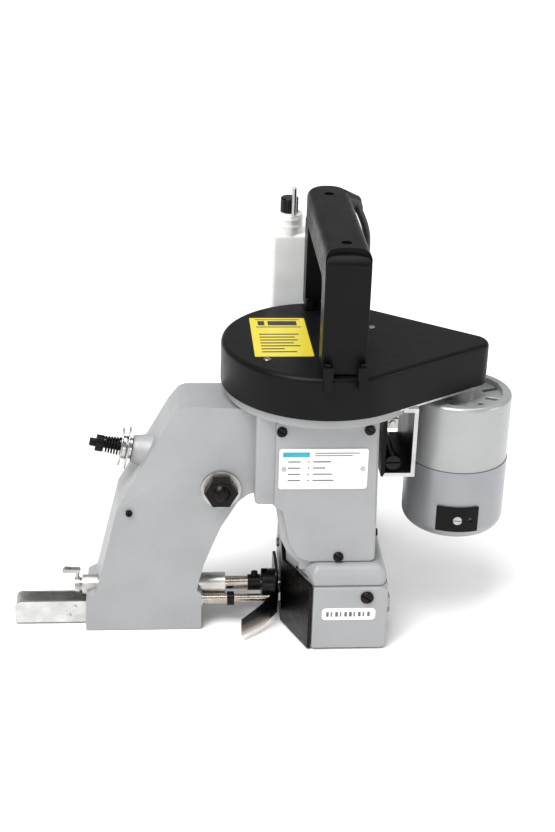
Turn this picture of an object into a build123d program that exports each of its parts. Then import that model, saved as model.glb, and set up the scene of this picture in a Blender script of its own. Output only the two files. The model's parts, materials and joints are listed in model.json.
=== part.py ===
from build123d import *
import math
import os

# Handheld bag closing sewing machine.  Millimetres, +Z up, +X to the right
# (motor side), +Y to the back.  The working frame below is set on the main
# shaft's axis at floor level and is moved by (OX, OY) when the files are
# written, so that the origin is the bottom centre of the machine's box.
OX, OY = 41.9, -14.35

# ---- driving dimensions -------------------------------------------------
COVER_R = 72.0            # belt cover, large end
COVER_TIP_R = 13.0        # belt cover, small end
TIP = (104.5, -2.5)       # centre of the small end
COVER_Z0, COVER_Z1 = 187.0, 217.5
MOTOR = (100.7, -2.5)     # motor axis
MOTOR_R = 36.4
MOTOR_Z0, SEAM_Z, MOTOR_Z1 = 75.0, 129.8, 179.7
ARM_Y0, ARM_Y1 = -33.0, 14.0          # left column and arm, front and rear
ARM_TOP = 177.5
COL_Y0, COL_Y1 = -50.0, 32.0          # right column housing
BLOCK_Y0, BLOCK_Y1 = -63.0, 25.0
BLOCK_TOP = 52.0
NEEDLE_Y, NEEDLE_Z = -15.0, 28.5      # needle bar axis, along X
PRESS_Y, PRESS_Z = -24.5, 20.6        # presser bar axis, along X
NEEDLE_STROKE = 16.3
PRESS_LIFT = 5.0
PIVOT = (-72.0, 116.5)                # needle lever pivot (X, Z)
LEVER_PIN = (-110.0, 28.5)            # drive pin at rest (X, Z)
MAIN_PULLEY_R, MOTOR_PULLEY_R = 52.0, 9.0
GRIP_X0, GRIP_X1 = -8.0, 22.5
GRIP_Y0, GRIP_Y1 = -66.0, 87.0
GRIP_TOP = 304.0
TENS = (-126.0, -10.0, 135.5)         # tension stud root
TENS_TILT = 11.0
BOTTLE = (-18.5, 91.8)                # oil bottle axis
CORD_D = 5.5

os.makedirs("parts", exist_ok=True)
NODES = {}


def put(name, shape):
    NODES[name] = shape
    return shape


def box(x0, x1, y0, y1, z0, z1):
    return Pos((x0 + x1) / 2, (y0 + y1) / 2, (z0 + z1) / 2) * Box(x1 - x0, y1 - y0, z1 - z0)


def cylz(x, y, r, z0, z1):
    return Pos(x, y, (z0 + z1) / 2) * Cylinder(r, z1 - z0)


def cylx(y, z, r, x0, x1):
    return Pos((x0 + x1) / 2, y, z) * Rot(0, 90, 0) * Cylinder(r, x1 - x0)


def cyly(x, z, r, y0, y1):
    return Pos(x, (y0 + y1) / 2, z) * Rot(90, 0, 0) * Cylinder(r, y1 - y0)


def outline(pts):
    """Closed face from (x, y, r) corners, each rounded by a tangent arc."""
    n = len(pts)
    data = []
    for i in range(n):
        p = Vector(*pts[i][:2])
        a = Vector(*pts[i - 1][:2])
        b = Vector(*pts[(i + 1) % n][:2])
        r = pts[i][2] if len(pts[i]) > 2 else 0
        u = (a - p).normalized()
        v = (b - p).normalized()
        ang = math.acos(max(-1, min(1, u.dot(v))))
        if r > 0 and 0.05 < ang < math.pi - 0.02:
            t = r / math.tan(ang / 2)
            t = min(t, 0.47 * min((a - p).length, (b - p).length))
            r = t * math.tan(ang / 2)
            w = (u + v).normalized()
            c = p + w * (r / math.sin(ang / 2))
            data.append((p + u * t, c - w * r, p + v * t))
        else:
            data.append((p,))
    edges = []
    for i in range(n):
        d = data[i]
        if len(d) == 3:
            edges.append(ThreePointArc(d[0], d[1], d[2]))
        e = data[(i + 1) % n][0]
        if (e - d[-1]).length > 1e-4:
            edges.append(Line(d[-1], e))
    return make_face(edges)


def prism_xz(pts, y0, y1):
    f = Plane(origin=(0, y1, 0), x_dir=(1, 0, 0), z_dir=(0, -1, 0)) * outline(pts)
    return extrude(f, amount=y1 - y0)


def prism_yz(pts, x0, x1):
    f = Plane(origin=(x0, 0, 0), x_dir=(0, 1, 0), z_dir=(1, 0, 0)) * outline(pts)
    return extrude(f, amount=x1 - x0)


def prism_xy(pts, z0, z1):
    f = Plane(origin=(0, 0, z0), x_dir=(1, 0, 0), z_dir=(0, 0, 1)) * outline(pts)
    return extrude(f, amount=z1 - z0)


def try_fillet(shape, edges, r):
    for k in (1.0, 0.8, 0.6, 0.4, 0.2):
        try:
            s = fillet(edges, r * k)
            if s.is_valid and s.volume > 0:
                return s
        except Exception:
            pass
    return shape


def try_chamfer(shape, edges, r):
    for k in (1.0, 0.5, 0.25):
        try:
            s = chamfer(edges, r * k)
            if s.is_valid and s.volume > 0:
                return s
        except Exception:
            pass
    return shape


def teardrop(rb, rt, z0, z1):
    """Hull of the large circle and the small one, as a plate."""
    cx, cy = TIP
    L = math.hypot(cx, cy)
    th = math.atan2(cy, cx)
    a = math.acos((rb - rt) / L)
    p = []
    for s in (1, -1):
        n = (math.cos(th + s * a), math.sin(th + s * a))
        p.append(((rb * n[0], rb * n[1]), (cx + rt * n[0], cy + rt * n[1])))
    (A, B), (D, C) = p
    tip = (cx + rt * math.cos(th), cy + rt * math.sin(th))
    back = (-rb * math.cos(th), -rb * math.sin(th))
    f = make_face([Line(A, B), ThreePointArc(B, tip, C), Line(C, D), ThreePointArc(D, back, A)])
    return extrude(Pos(0, 0, z0) * f, amount=z1 - z0)


def screw_head_y(x, z, y, r, h, slot=True, shank=6.0, shank_r=2.0):
    """Cheese-head screw on a front face at y, head proud by h, towards -Y."""
    s = cyly(x, z, r, y - h, y)
    s = try_chamfer(s, s.edges().filter_by(GeomType.CIRCLE).sort_by(Axis.Y)[:1], h * 0.3)
    if slot:
        s -= Pos(x, y - h, z) * Rot(0, 35, 0) * Box(r * 2.2, h * 0.9, r * 0.3)
    if shank > 0:
        s += cyly(x, z, shank_r, y, y + shank)
    return s


def screw_head_z(x, y, z, r, h, shank=6.0, shank_r=2.0, ang=25):
    s = cylz(x, y, r, z, z + h)
    s = try_chamfer(s, s.edges().filter_by(GeomType.CIRCLE).sort_by(Axis.Z)[-1:], h * 0.3)
    s -= Pos(x, y, z + h) * Rot(0, 0, ang) * Box(r * 2.2, r * 0.3, h * 0.9)
    if shank > 0:
        s += cylz(x, y, shank_r, z - shank, z)
    return s


# ---- frame casting -----------------------------------------------------
arm_pts = [(-169.5, 0, 1), (-169.0, 25.5, 2), (-165.5, 27.5, 1), (-162.5, 29.0, 2), (-160.5, 36, 0), (-145.6, 100, 6),
           (-108.5, 166.5, 22), (-100, ARM_TOP, 10), (-20, ARM_TOP, 0),
           (-20, 112, 0), (-51.3, 112.5, 8), (-59.5, 106.0, 9), (-71.7, 84.9, 0),
           (-78.7, 67.4, 0), (-83.4, 54.6, 0), (-87.1, 40.0, 0), (-88.4, 32.5, 1.2), (-85.2, 29.6, 1.5), (-85, 0, 1)]
arm = prism_xz(arm_pts, ARM_Y0, ARM_Y1)
# tilted upper facet of the front face: everything above the crease leans back
c0 = Vector(-145.6, ARM_Y0, 99.5)
c1 = Vector(-50.0, ARM_Y0, 166.0)
cd = (c1 - c0).normalized()
tilt = math.radians(9.0)
up_in = Vector(0, -1, 0).cross(cd).normalized()
if up_in.Z < 0:
    up_in = up_in * -1
nrm = (Vector(0, -1, 0) * math.cos(tilt) + up_in * math.sin(tilt)).normalized()
mid = (c0 + c1) * 0.5
wedge_plane = Plane(origin=mid, x_dir=cd, z_dir=nrm)
wedge = extrude(wedge_plane * Rectangle(260, 260), amount=60)
arm = arm - wedge
arm = try_fillet(arm, arm.edges().filter_by(Axis.Z).group_by(Axis.X)[0], 2.0)

col_pts = [(-49, 181, 0), (36, 181, 0), (38.5, 66, 0), (38.5, 60, 0), (-16, 60, 0), (-16, 64, 0),
           (-25, 73, 8), (-30, 84, 6), (-33, 108, 2), (-36.5, 112, 3), (-49, 112, 3)]
col = prism_xz(col_pts, COL_Y0, COL_Y1)
col = try_fillet(col, col.edges().filter_by(Axis.Z).sort_by(Axis.Y)[:2], 2.0)

sh_pts = [(-6.5, -61, 3), (46.5, -61, 6), (46.5, 25, 6), (-23, 25, 1), (-23, -24, 1)]
shoulder = prism_xy(sh_pts, 52.5, 67)
shoulder = try_fillet(shoulder, [e for e in shoulder.edges().group_by(Axis.Z)[-1]
                                 if e.center().Y < -30 or e.center().X > 40], 8)
flange = cylz(0, 0, 69, 180, 186.6)
casting = arm + col + shoulder + flange

# cavities
cav_left = [(-164.5, 4, 1), (-164, 24, 3), (-155.5, 36, 0), (-140.5, 100, 4),
            (-104.5, 163, 8), (-97, 172.5, 5), (-15, 172.5, 0),
            (-15, 117, 0), (-52, 117.5, 6), (-58, 116, 0), (-66, 104, 4), (-76.0, 85, 0), (-83.2, 67.5, 0),
            (-88.0, 54.0, 0), (-91.5, 38, 2), (-91.5, 30, 2), (-91, 4, 1)]
casting -= prism_xz(cav_left, ARM_Y0 + 9.5, ARM_Y1 - 4)
casting -= prism_xz([(-164.5, 4, 1), (-164, 24, 3), (-155.5, 36, 0), (-146, 77, 0), (-112, 77, 0), (-88, 55, 0),
                     (-91.5, 38, 2), (-91.5, 30, 2), (-91, 4, 1)], ARM_Y0 + 3.5, ARM_Y1 - 4)
casting -= box(-165, -91, ARM_Y0 + 3.5, ARM_Y1 - 4, -1, 5)          # open foot
casting -= box(-30, 31, COL_Y0 + 6, COL_Y1 - 5, 118, 176)           # column, upper
casting -= box(-22, 31, COL_Y0 + 6, COL_Y1 - 5, 80, 119)            # column, lower
casting -= box(-40, -29, -26, 10, 118, 173.5)                       # way to the arm
casting -= cylz(0, 0, 26, 175, 177)
casting -= cylz(0, 0, 16, 176, 187)                                  # upper bearing seat
casting -= cylz(0, 0, 14, 66, 81)                                    # lower bearing seat
casting -= cylz(0, 0, 8.5, 50, 67)
casting -= box(-17, 40, -54, 19, 51, 56)                            # recess under the shoulder
# front opening of the column, under its cover plate
win_pts = [(-33.5, 176, 3), (31, 176, 3), (34, 73, 3), (-12, 73, 3), (-20, 84, 4), (-27, 110, 3), (-33.5, 114, 3)]
casting -= prism_xz(win_pts, COL_Y0 - 1, COL_Y0 + 7)
# seats and bores
casting -= cyly(PIVOT[0], PIVOT[1], 7.05, ARM_Y0 - 1, ARM_Y1 + 1)    # pivot bolt
casting -= cylx(NEEDLE_Y, NEEDLE_Z, 6.6, -175, -80)                  # needle bar bushings
casting -= cylx(PRESS_Y, PRESS_Z, 5.6, -95, -80)                     # presser bar bushing
casting -= box(-175, -160, -24.8, -5.2, -1, 22.4)                    # lever slot
td = Vector(-math.cos(math.radians(TENS_TILT)), 0, math.sin(math.radians(TENS_TILT)))
T0 = Vector(*TENS)


def tcyl(r, a, b, origin=T0, d=td):
    pl = Plane(origin=origin + d * a, z_dir=d)
    return extrude(pl * Circle(r), amount=b - a)


tb0 = Plane(origin=T0 - td * 9.0, z_dir=td)
tboss = loft([tb0 * Circle(14.5), Plane(origin=T0 + td * 9.0, z_dir=td) * Circle(9.6)])
casting += tboss - prism_xz(cav_left, ARM_Y0 + 9.5, ARM_Y1 - 4)
casting -= tcyl(3.0, -14, 12)
# tapped holes of the cover, the side and the block screws
COVER_SCREWS = [(-31.7, 170.5), (28.9, 171.7), (11.4, 71.8)]
for sx, sz in COVER_SCREWS:
    casting -= cyly(sx, sz, 2.05, COL_Y0 - 1, COL_Y0 + 6)
casting -= cyly(-137.0, 97.5, 1.6, ARM_Y0 - 1, ARM_Y0 + 5)
casting -= cylx(-30, 125.5, 1.5, 30, 40) + cylx(-40, 84, 1.5, 30, 40)
put("frame_casting", casting)

# ---- column cover plate (front) -----------------------------------------
cp_pts = [(-35.5, 178.2, 3), (34.2, 178.2, 3), (37.4, 67.4, 3), (-9, 67.4, 3), (-17.5, 70.5, 4), (-24, 82, 6),
          (-29.5, 108, 3), (-35.5, 112, 3)]
cover = prism_xz(cp_pts, COL_Y0 - 3.2, COL_Y0 - 0.2)
cover += prism_xz([(x * 0.0 + xx, zz, 2) for x, xx, zz in ((0, -31, 173.5), (0, 28.5, 173.5), (0, 31.3, 76.5), (0, -9.5, 76.5),
                  (0, -17.0, 86), (0, -24.0, 111.8), (0, -31, 116.5))], COL_Y0 - 0.3, COL_Y0 + 3)
cover = try_fillet(cover, [e for e in cover.edges() if abs(e.center().Y - (COL_Y0 - 3.2)) < 0.01], 1.0)
for sx, sz in COVER_SCREWS:
    cover -= cyly(sx, sz, 2.2, COL_Y0 - 5, COL_Y0 + 5)
put("column_cover", cover)
s = None
for sx, sz in COVER_SCREWS:
    k = screw_head_y(sx, sz, COL_Y0 - 3.2, 3.7, 2.0, shank=5.5, shank_r=2.0)
    s = k if s is None else s + k
SLOTTED = [s]

name_plate = box(-33.0, 28.8, COL_Y0 - 3.9, COL_Y0 - 3.2, 126.5, 157.5)
name_plate = try_fillet(name_plate, name_plate.edges().filter_by(Axis.Y), 2.0)
RIV = [(-29.6, 142.0), (25.3, 142.0)]
for rx, rz in RIV:
    name_plate -= cyly(rx, rz, 1.05, COL_Y0 - 5, COL_Y0)
put("name_plate", name_plate)
s = None
for rx, rz in RIV:
    k = cyly(rx, rz, 1.0, COL_Y0 - 3.9, COL_Y0 - 3.2) + cyly(rx, rz, 1.7, COL_Y0 - 4.6, COL_Y0 - 3.9)
    s = k if s is None else s + k
SMALL = [s]

# side screws and the hexagon bolt at the right-hand wall
def side_screw(y, z, x, r, h, hexa=False):
    if hexa:
        f = Plane(origin=(x, y, z), x_dir=(0, 1, 0), z_dir=(1, 0, 0)) * RegularPolygon(r, 6)
        return extrude(f, amount=h)
    k = cylx(y, z, r, x, x + h)
    k -= Pos(x + h, y, z) * Rot(30, 0, 0) * Box(h * 0.9, r * 2.2, r * 0.3)
    return k


SLOTTED.append(side_screw(-30, 125.5, 37.3, 2.8, 2.0) + side_screw(-40, 84, 38.3, 2.8, 2.0))

# ---- lower block with the looper mechanism --------------------------------
blk_pts = [(-6.5, -60, 1), (47.5, -60, 2), (47.5, 25, 5), (-23.2, 25, 1), (-23.2, -24, 1)]
block = prism_xy(blk_pts, 0, BLOCK_TOP)
in_pts = [(-1.0, -54.5, 1), (42, -54.5, 2), (42, 20, 2), (-18.5, 20, 1), (-18.5, -22, 1)]
block -= prism_xy(in_pts, 4, 48)
block -= box(1, 40, -61, -54, 5.5, 44)                # front access opening
block -= cylz(0, 0, 16.5, 45, 53)                     # way for the main shaft
block -= box(-24, -18, -24.0, 2.0, 13.5, 31.5)
block -= box(-24, -18, -18, -12, 25, 32)        # way for the needle and feed dog
LOOP = (20.0, -38.0)
block -= cylz(LOOP[0], LOOP[1], 4.05, 1.5, 6)
block += cylz(LOOP[0], LOOP[1], 8, 44, 50) - cylz(LOOP[0], LOOP[1], 4.05, 40, 48.5)
put("looper_block", block)
lc = prism_xz([(-6.3, 1.0, 2), (47.6, 1.0, 3), (47.6, 51.4, 5), (-6.3, 51.4, 2)], -63.2, -60.2)
lc = try_fillet(lc, [e for e in lc.edges() if abs(e.center().Y + 63.2) < 0.01], 1.2)
lc -= cyly(32.3, 43.8, 2.3, -70, -50)
put("looper_cover", lc)
SLOTTED.append(screw_head_y(32.3, 43.8, -63.2, 4.7, 2.2, shank=2.9, shank_r=2.2))
lab = prism_xz([(0.3, 25.2, 3), (39.0, 25.2, 3), (39.0, 34.8, 3), (0.3, 34.8, 3)], -63.6, -63.2)
put("serial_label", lab)
BOLTS = [side_screw(-38, 24, 47.6, 7.2, 5.0, hexa=True)]

# ---- throat plate ----------------------------------------------------------
tp_pts = [(-26.0, 24.5), (-26.0, -24.5), (-9.3, -63.0), (-6.9, -62.1), (-23.5, -23.9), (-23.5, 24.5)]
tplate = prism_xy(tp_pts, 1.0, 64.0)
tplate -= prism_yz([(-70, 53.5, 0), (-24, 53.5, 0), (-6, 65, 0), (-6, 80, 0), (-70, 80, 0)], -40, 10)
tplate -= box(-30, -20, -23.4, 0.4, 14.4, 23.6)               # feed slot
tplate -= cylx(NEEDLE_Y, NEEDLE_Z, 1.6, -30, -20)              # needle hole
for zz in (8.0, 46.0):
    tplate -= cylx(14, zz, 2.0, -30, -20)
put("throat_plate", tplate)
s = None
for zz in (8.0, 46.0):
    k = cylx(14, zz, 3.4, -27.4, -26.0) + cylx(14, zz, 1.95, -26.0, -22.0)
    k -= box(-28, -26.9, 13.5, 14.5, zz - 4, zz + 4)
    s = k if s is None else s + k
SMALL.append(s)
for zz in (8.0, 46.0):
    NODES["looper_block"] -= cylx(14, zz, 2.0, -24, -21.5)

# ---- main shaft, eccentric, pulley and bearings ------------------------------
put("main_shaft", cylz(0, 0, 7.0, 42.0, 209.0))
ecc = cylz(2.3, 0, 11.0, 144, 158) + cylz(0, 0, 12.5, 158, 163)
ecc -= cylz(0, 0, 7.0, 140, 170)
feed_cam = cylz(2.0, 0, 11.5, 43.5, 49.5) - cylz(0, 0, 7.0, 40, 60)
put("shaft_eccentrics", ecc + feed_cam)
mp = cylz(0, 0, 55, 190.5, 205.5)
grv = Rot(0, 0, 0) * Pos(0, 0, 198) * Torus(55.6, 4.4)
mp -= grv
mp -= cylz(0, 0, 46, 190, 195) - cylz(0, 0, 16, 190, 195)
mp -= cylz(0, 0, 46, 200, 206) - cylz(0, 0, 16, 200, 206)
for k in range(6):
    a = math.radians(60 * k)
    mp -= cylz(31 * math.cos(a), 31 * math.sin(a), 9, 190, 206)
mp -= cylz(0, 0, 7.0, 180, 210)
put("main_pulley", mp)
nut = extrude(Pos(0, 0, 205.6) * RegularPolygon(9.5, 6), amount=5.2)
NODES["main_pulley"] = mp + (nut - cylz(0, 0, 7.0, 200, 209.0))


def bearing(x, y, ri, ro, z0, z1, n=8):
    zc = (z0 + z1) / 2
    rm = (ri + ro) / 2
    race = cylz(x, y, ro, z0, z1) - cylz(x, y, rm + 1.2, z0 - 1, z1 + 1)
    inner = cylz(x, y, rm - 1.2, z0, z1) - cylz(x, y, ri, z0 - 1, z1 + 1)
    shield = cylz(x, y, rm + 1.3, zc - 0.8, zc + 0.8) - cylz(x, y, rm - 1.3, zc - 2, zc + 2)
    return race + inner + shield


BEAR = bearing(0, 0, 7.05, 16, 177.2, 186.4) + bearing(0, 0, 7.05, 14, 67.2, 77.0)

# ---- belt (round section) around both pulleys -------------------------------
rb, rt = MAIN_PULLEY_R + 2.4, MOTOR_PULLEY_R + 1.6
cx, cy = MOTOR
L = math.hypot(cx, cy)
th = math.atan2(cy, cx)
al = math.acos((rb - rt) / L)
pA = (rb * math.cos(th + al), rb * math.sin(th + al))
pB = (cx + rt * math.cos(th + al), cy + rt * math.sin(th + al))
pC = (cx + rt * math.cos(th - al), cy + rt * math.sin(th - al))
pD = (rb * math.cos(th - al), rb * math.sin(th - al))
ptip = (cx + rt * math.cos(th), cy + rt * math.sin(th))
pbk = (-rb * math.cos(th), -rb * math.sin(th))
BELT_R = 1.6


def belt_plate(d, z0, z1):
    """Plate bounded by the belt line moved out by d."""
    a1, b1 = rb + d, rt + d
    q = []
    for s_ in (1, -1):
        n_ = (math.cos(th + s_ * al), math.sin(th + s_ * al))
        q.append(((a1 * n_[0], a1 * n_[1]), (cx + b1 * n_[0], cy + b1 * n_[1])))
    (A_, B_), (D_, C_) = q
    f = make_face([Line(A_, B_), ThreePointArc(B_, (cx + b1 * math.cos(th), cy + b1 * math.sin(th)), C_),
                   Line(C_, D_), ThreePointArc(D_, (-a1 * math.cos(th), -a1 * math.sin(th)), A_)])
    return extrude(Pos(0, 0, z0) * f, amount=z1 - z0)


belt = belt_plate(BELT_R, 196.4, 199.6) - belt_plate(-BELT_R, 195, 201)
put("drive_belt", belt)

# ---- motor -------------------------------------------------------------------
mx, my = MOTOR
up_h = cylz(mx, my, MOTOR_R, SEAM_Z + 0.1, MOTOR_Z1)
up_h = try_fillet(up_h, up_h.edges().filter_by(GeomType.CIRCLE).sort_by(Axis.Z)[-1:], 3.0)
up_h -= cylz(mx, my, MOTOR_R - 3.0, SEAM_Z - 1, MOTOR_Z1 - 8)
up_h -= cylz(mx, my, MOTOR_R - 7.0, MOTOR_Z1 - 4.5, MOTOR_Z1 + 1)
up_h += cylz(mx, my, 11.5, MOTOR_Z1 - 9, MOTOR_Z1 + 3.5)
up_h -= cylz(mx, my, 8.0, MOTOR_Z1 - 12, MOTOR_Z1 + 5)
for a_ in (20, 55, 125, 160, 200, 235, 305, 340):
    v = Rot(0, 0, a_) * Pos(MOTOR_R - 12.5, 0, 0) * box(-6, 6, -2, 2, MOTOR_Z1 - 12, MOTOR_Z1 + 1)
    up_h -= Pos(mx, my, 0) * v
put("motor_upper_housing", up_h)
lo_h = cylz(mx, my, MOTOR_R + 0.6, MOTOR_Z0, SEAM_Z - 0.1)
lo_h = try_fillet(lo_h, lo_h.edges().filter_by(GeomType.CIRCLE).sort_by(Axis.Z)[:1], 10.0)
lo_h -= cylz(mx, my, MOTOR_R - 3.0, MOTOR_Z0 + 12, SEAM_Z + 1)
lo_h -= cylz(mx, my, 20, MOTOR_Z0 + 4, MOTOR_Z0 + 14)
lo_h -= cylz(mx, my, 8.0, MOTOR_Z0 + 2, MOTOR_Z0 + 6)
for a_ in range(0, 360, 45):
    v = Rot(0, 0, a_ + 22.5) * Pos(27.0, 0, 0) * box(-5, 5, -1.6, 1.6, MOTOR_Z0 - 1, MOTOR_Z0 + 14)
    lo_h -= Pos(mx, my, 0) * v
BR_A = -94.5   # direction of the front brush cover from the motor axis, degrees
for a_ in (BR_A, BR_A + 180):
    lo_h -= Pos(mx, my, 0) * Rot(0, 0, a_) * Pos(MOTOR_R - 2, 0, 93.5) * Rot(0, 90, 0) * Cylinder(5.2, 14)
put("motor_lower_housing", lo_h)


def brush_cover(a_):
    ring = cylz(mx, my, MOTOR_R + 2.6, 84, 103) - cylz(mx, my, MOTOR_R + 0.6, 80, 110)
    cut = Pos(mx, my, 0) * Rot(0, 0, a_) * box(10, 60, -15.2, 15.2, 84, 103)
    r_ = ring & cut
    r_ = try_fillet(r_, [e for e in r_.edges() if e.length > 5 and e.length < 25 and e.geom_type == GeomType.LINE and abs(e.tangent_at(0.5).Z) > 0.9], 1.2)
    return r_


bc = brush_cover(BR_A) + brush_cover(BR_A + 180)
for a_ in (BR_A, BR_A + 180):
    bc -= Pos(mx, my, 0) * Rot(0, 0, a_) * Pos(MOTOR_R, 9.5, 93.5) * Rot(0, 90, 0) * Cylinder(1.6, 16)
put("brush_covers", bc)
s = None
for a_ in (BR_A, BR_A + 180):
    k = Pos(mx, my, 0) * Rot(0, 0, a_) * Pos(MOTOR_R + 2.4, 0, 93.5) * Rot(0, 90, 0) * Cylinder(3.2, 2.0)
    k -= Pos(mx, my, 0) * Rot(0, 0, a_) * Pos(MOTOR_R + 3.4, 0, 93.5) * Box(1.4, 7, 1.0)
    s = k if s is None else s + k
bsc = Pos(mx, my, 0) * (cylz(0, 0, MOTOR_R + 3.6, 80, 110) - cylz(0, 0, MOTOR_R + 2.6, 79, 111))
s = s & bsc
SMALL.append(s)
s = None
for a_ in (BR_A, BR_A + 180):
    k = Pos(mx, my, 0) * Rot(0, 0, a_) * Pos(24.5, 0, 93.5) * Box(17, 6, 6)
    s = k if s is None else s + k
BRUSHES = s
stator = cylz(mx, my, MOTOR_R - 3.1, 106, 150) - cylz(mx, my, 22.5, 100, 160)
put("motor_stator", Compound(children=[*stator.solids(), *BRUSHES.solids()]))
MSHAFT = cylz(mx, my, 3.5, 78.0, 206.5)
arma = cylz(mx, my, 21.8, 110, 146) - cylz(mx, my, 3.5, 100, 160)
for k in range(12):
    arma -= Pos(mx, my, 0) * Rot(0, 0, 30 * k) * box(17, 24, -1.2, 1.2, 109, 147)
arma += cylz(mx, my, 15, 88, 99) - cylz(mx, my, 3.5, 80, 160)
fan = cylz(mx, my, 9, 154, 160) - cylz(mx, my, 3.5, 150, 170)
for k in range(8):
    fan += Pos(mx, my, 0) * Rot(0, 0, 45 * k) * box(8.5, 28, -0.8, 0.8, 155, 167)
put("motor_armature", Compound(children=[*arma.solids(), *fan.solids(), MSHAFT]))
put("ball_bearings", BEAR + bearing(mx, my, 3.55, 7.95, MOTOR_Z1 - 5, MOTOR_Z1 + 3) + bearing(mx, my, 3.55, 7.95, MOTOR_Z0 + 2.1, MOTOR_Z0 + 6))
mpul = cylz(mx, my, 10.4, 190.5, 205.5) - (Pos(mx, my, 198) * Torus(11.8, 3.5)) - cylz(mx, my, 3.5, 180, 210)
put("motor_pulley", mpul)

# ---- motor bracket: plate under the cover and box frame beside the column ---
plate = teardrop(COVER_R - 4.5, COVER_TIP_R - 3.0, 183.3, 186.6) - cylz(0, 0, 69.4, 180, 190)
plate += cylz(mx, my, 13.0, 183.3, 186.6)
plate -= cylz(mx, my, 8.3, 180, 190)
fr = box(39.2, 63.4, -45, 22, 131, 183.5) - box(42.2, 60.6, -46, 23, 134, 180.5)
fr -= box(30, 42.2, -20, 14, 140, 176)
fr = fr - cylz(0, 0, 69.4, 179.8, 190)
fr = fr - cylz(mx, my, MOTOR_R + 0.9, 120, 182.5)
fr = fr + plate
fr = try_fillet(fr, fr.edges().filter_by(Axis.Y).sort_by(Axis.Z)[:1], 1.5)
put("motor_bracket", fr)
bk = cyly(47.9, 141.5, 5.4, -44.0, -36.0) + cyly(47.9, 141.5, 3.0, -36.0, 10.0)
bk -= box(40, 55, -44.5, -42.6, 141.0, 142.1)
BOLTS.append(bk)
BOLTS.append(box(42.8, 50.2, -40, -33, 166.5, 173.5) + cyly(46.5, 170, 2.5, -42.0, 12.0))

# ---- belt cover -----------------------------------------------------------------
bcov = teardrop(COVER_R, COVER_TIP_R, COVER_Z0, COVER_Z1)
bcov = try_fillet(bcov, bcov.edges().group_by(Axis.Z)[-1], 3.6)
bcov -= teardrop(COVER_R - 2.8, COVER_TIP_R - 2.6, COVER_Z0 - 1, COVER_Z1 - 3.0)
BC_SCREWS = [(36.5, 20.5), (-42.0, -38.0)]
for sx, sy in BC_SCREWS:
    bcov -= cylz(sx, sy, 2.0, COVER_Z1 - 4, COVER_Z1 + 1)
put("belt_cover", bcov)
s = None
for sx, sy in BC_SCREWS:
    k = screw_head_z(sx, sy, COVER_Z1, 2.6, 0.9, shank=2.6, shank_r=1.9)
    s = k if s is None else s + k
SMALL.append(s)
clabel = prism_xy([(-50.3, 38.4, 1), (-10.6, 38.4, 1), (-9.4, -32.4, 1), (-50.1, -33.0, 1)], COVER_Z1, COVER_Z1 + 0.3)
put("warning_label", clabel)

# ---- handle ---------------------------------------------------------------------
g0, g1 = GRIP_X0, GRIP_X1
hp = [(GRIP_Y0, 218.0, 1), (GRIP_Y0, 291.0, 0), (GRIP_Y1, 291.0, 0),
      (GRIP_Y1, 279.5, 6), (-46, 279.5, 7), (-48, 218.0, 1)]
grip = prism_yz(hp, g0, g1)
plan = prism_xy([(g0, -80, 0), (g1, -80, 0), (g1, GRIP_Y1, 15.0), (g0, GRIP_Y1, 15.0)], 200, 320)
grip = grip & plan
rear = prism_yz([(GRIP_Y1 - 8, 281, 0), (GRIP_Y1 - 11, 218.0, 1), (GRIP_Y1 - 27, 218.0, 1), (GRIP_Y1 - 29, 281, 0)], g0, g0 + 14.5)
fore = box(g0, g1, GRIP_Y0, GRIP_Y0 + 12, 290, 300) & cylz((g0 + g1) / 2, GRIP_Y0 - 8.6, 18.3, 280, 310)
fore = try_fillet(fore, [e for e in fore.edges() if abs(e.center().Y - GRIP_Y0) < 0.01 and e.center().Z > 299.9], 8.0)
grip = grip + rear + fore
grip = try_fillet(grip, [e for e in grip.edges().filter_by(Axis.Z) if e.center().Y < -60 and e.length > 40], 1.6)
# pocket for the trigger and the switch
grip -= box(g0 + 3, g1 - 3, -41, 50, 274, 286)
grip -= box(g0 + 4.5, g1 - 4.5, -30, 30, 284, 292)
# mounting ears that reach down over the cover's front edge
LUGS = [(-4.2, -70.9), (19.0, -70.9)]
for lx, ly in LUGS:
    grip += box(lx - 3.4, lx + 3.4, -75.6, -65.0, 218.2, 227.0)
    grip += box(lx - 2.6, lx + 2.6, -75.6, -72.4, 209.5, 219.0)
for lx in (-5.2, 3.6):
    grip += box(lx - 2.6, lx + 2.6, GRIP_Y1 - 34, GRIP_Y1 - 26, 218.2, 225.0)
put("handle_body", grip)
s = None
for lx, ly in LUGS:
    k = cylz(lx, -71.6, 2.4, 227.0, 229.2)
    k -= Pos(lx, -71.6, 229.2) * Rot(0, 0, 20) * Box(6, 0.9, 1.6)
    s = k if s is None else s + k
for lx in (-5.2, 3.6):
    k = cylz(lx, GRIP_Y1 - 31.4, 2.0, 225.0, 227.0)
    k -= Pos(lx, GRIP_Y1 - 31.4, 227.0) * Rot(0, 0, 50) * Box(6, 0.8, 1.6)
    s += k
HSCR = s

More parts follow.
